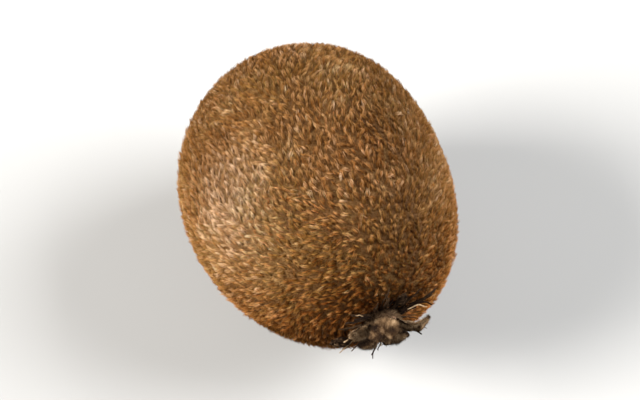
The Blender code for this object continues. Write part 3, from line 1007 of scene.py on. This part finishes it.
def makeClumps():
    # each clump is a dark knot wound round with short curly threads
    look = clumpLook
    draw = np.random.default_rng(33)
    verts, faces, routes, count = [], [], [], 0
    polar = np.linspace(0, math.pi, look["rows"])
    polar, around = np.meshgrid(polar, ringTurns(look["columns"]), indexing="ij")
    ball = np.stack([np.sin(polar) * np.cos(around), np.sin(polar) * np.sin(around), np.cos(polar)], -1)
    knot = ball * (look["fullness"] + layered(ball, look["swell"]))[..., None]
    bands = ringBands(*polar.shape)[0]
    for turn, distance, halfAlong, halfAcross, halfOut in look["clumps"]:
        def placed(shape):
            along = distance + shape[..., 0] * halfAlong
            across = shape[..., 1] * halfAcross
            aside = math.radians(turn) + np.arctan2(across, along)
            height = threadLook["gap"] + halfOut * (1 + shape[..., 2])
            return endPoints(-1, np.hypot(along, across), aside, height)

        verts.append(placed(knot).reshape(-1, 3))
        faces.append(bands + count)
        count += polar.size
        for _ in range(look["threads"]):
            first, second = unit(draw.normal(size=3)), unit(draw.normal(size=3))
            share = np.linspace(0, 1, 8)[:, None]
            bend = 0.3 * draw.normal(size=3) * np.sin(math.pi * share)
            arc = unit(first * (1 - share) + second * share + bend)
            arc = arc * (draw.uniform(0.72, 1.0) + draw.uniform(-0.12, 0.3) * share ** 2)
            arc[:, 2] = np.maximum(arc[:, 2], -1.0)
            routes.append(placed(arc))
    material = threadMaterial("withered clump", 0.85)
    knots = meshObject("stamen_knots", np.concatenate(verts), np.concatenate(faces), material)
    setPointValues(knots, "threadTone", np.full(count, look["knotTone"]))
    dress(knots, "stamens")
    spread = draw.uniform(*look["widthSpread"], (len(routes), 1))
    tones = np.clip(draw.normal(*look["threadTone"], len(routes)), 0, 0.85)
    dress(tubes("stamen_curls", routes, look["width"], spread, tones, material), "stamens")
    print("clumps:", len(routes), "threads")


# styles at the blossom end
styleLook = {
    "disc": (2.1 * mm, 0.7 * mm),  # radius and thickness
    "discColumns": 60, "discRows": 14, "discRough": 0.10 * mm, "discTone": 0.42,
    "count": 22,
    "length": (1.6 * mm, 2.8 * mm),  # in the middle of the disc and at its edge
    "lengthSpread": 0.3 * mm,
    "lean": (0.1, 0.95),
    "root": 0.4 * mm,
    "strands": 2,
    "wobble": 0.22 * mm,
    "width": (0.44 * mm, 0.28 * mm),
    "widthSpread": (0.75, 1.25),
    "tone": (0.64, 0.13),
}


def makeStyles():
    look = styleLook
    chance = random.Random(37)
    draw = np.random.default_rng(31)
    radius, thick = look["disc"]
    foot = endPoints(1, radius, 0.0, 0.0)[1] + widestAlong + threadLook["gap"]
    golden = math.pi * (3 - math.sqrt(5))
    start = foot + thick * 0.45
    run = np.linspace(0, 1, 5)
    routes = []
    for index in range(look["count"]):
        share = math.sqrt((index + 0.5) / look["count"])
        turn = golden * index
        length = np.interp(share, (0, 1), look["length"])
        length = length + chance.uniform(-look["lengthSpread"], look["lengthSpread"])
        lean = np.interp(share, (0, 1), look["lean"])
        away = radius * 0.86 * share + length * run * np.sin(lean * (0.6 + 0.7 * run))
        out = start - look["root"] + (length + look["root"]) * run * np.cos(lean * (0.6 + 0.5 * run))
        routes += finer(draw, axisPoints(away, turn, out - widestAlong), look["strands"], look["wobble"])
    count = len(routes)
    tones = np.clip(draw.normal(*look["tone"], count), 0, 0.92)
    spread = draw.uniform(*look["widthSpread"], (count, 1))
    material = threadMaterial("dried style", 0.7)
    dress(tubes("style_threads", routes, look["width"], spread, tones, material), "styles")
    makeStyleDisc(radius, thick, foot)
    print("styles:", count)


def makeStyleDisc(radius, thick, foot):
    # the small crusty disc that the styles stand on
    look = styleLook
    turn = ringTurns(look["discColumns"])
    angle = np.linspace(0, 1, look["discRows"])[1:] * math.pi * 0.62
    radii = radius * np.sin(np.minimum(angle, math.pi / 2))[:, None] * np.ones(len(turn))
    radii[angle > math.pi / 2] = radius * 1.03
    heights = (foot + thick * 1.1 * np.cos(angle))[:, None] * np.ones(len(turn))
    points = np.stack([radii * np.cos(turn), heights, radii * np.sin(turn)], -1)
    rough = softNoise(points, 0.8 * mm, 91) * look["discRough"]
    points = points + unit(points - [0, foot - thick, 0]) * rough[..., None]
    ends = [[0, foot + thick * 1.1, 0], [0, heights[-1, 0] - 0.6 * mm, 0]]
    verts = np.concatenate([points.reshape(-1, 3), ends]) + [endOffset, -widestAlong, centreHeight]
    faces = closedRings(*radii.shape)[:, ::-1]
    disc = meshObject("style_disc", verts, faces, threadMaterial("style disc", 0.85))
    setPointValues(disc, "threadTone", np.full(len(verts), look["discTone"]))
    dress(disc, "styles")


makeStamens()
makeClumps()
makeStyles()

# floor and light
stageLook = {
    "floorSide": 3.0, "floorColour": (0.31, 0.31, 0.307),
    "worldColour": (1.0, 1.0, 1.0), "worldStrength": 0.20,
    # azimuth and elevation as for the camera, distance, size, watts
    "lights": [
        ("key", -100, 29, 2.2, 1.00, 184, (1.0, 0.97, 0.93)),
        ("fill", 80, 34, 2.4, 1.60, 186, (1.0, 1.0, 1.0)),
    ],
}


def makeStage():
    look = stageLook
    material, _, shader = newMaterial("floor", 0.9, 0.1)
    shader.inputs["Base Color"].default_value = (*look["floorColour"], 1)
    corners = np.array([(-1, -1, 0), (1, -1, 0), (1, 1, 0), (-1, 1, 0)]) * look["floorSide"]
    meshObject("floor", corners, np.array([[0, 1, 2, 3]]), material)
    world = bpy.data.worlds.new("studio")
    world.use_nodes = True
    background = world.node_tree.nodes["Background"]
    background.inputs["Color"].default_value = (*look["worldColour"], 1)
    background.inputs["Strength"].default_value = look["worldStrength"]
    bpy.context.scene.world = world
    for name, azimuth, elevation, distance, size, power, colour in look["lights"]:
        data = bpy.data.lights.new(name, "AREA")
        data.energy = power
        data.size = size
        data.color = colour
        placeAround(bpy.data.objects.new(name, data), azimuth, elevation, distance)
    bpy.context.scene.view_settings.view_transform = "Standard"


makeStage()
print("stage lit")
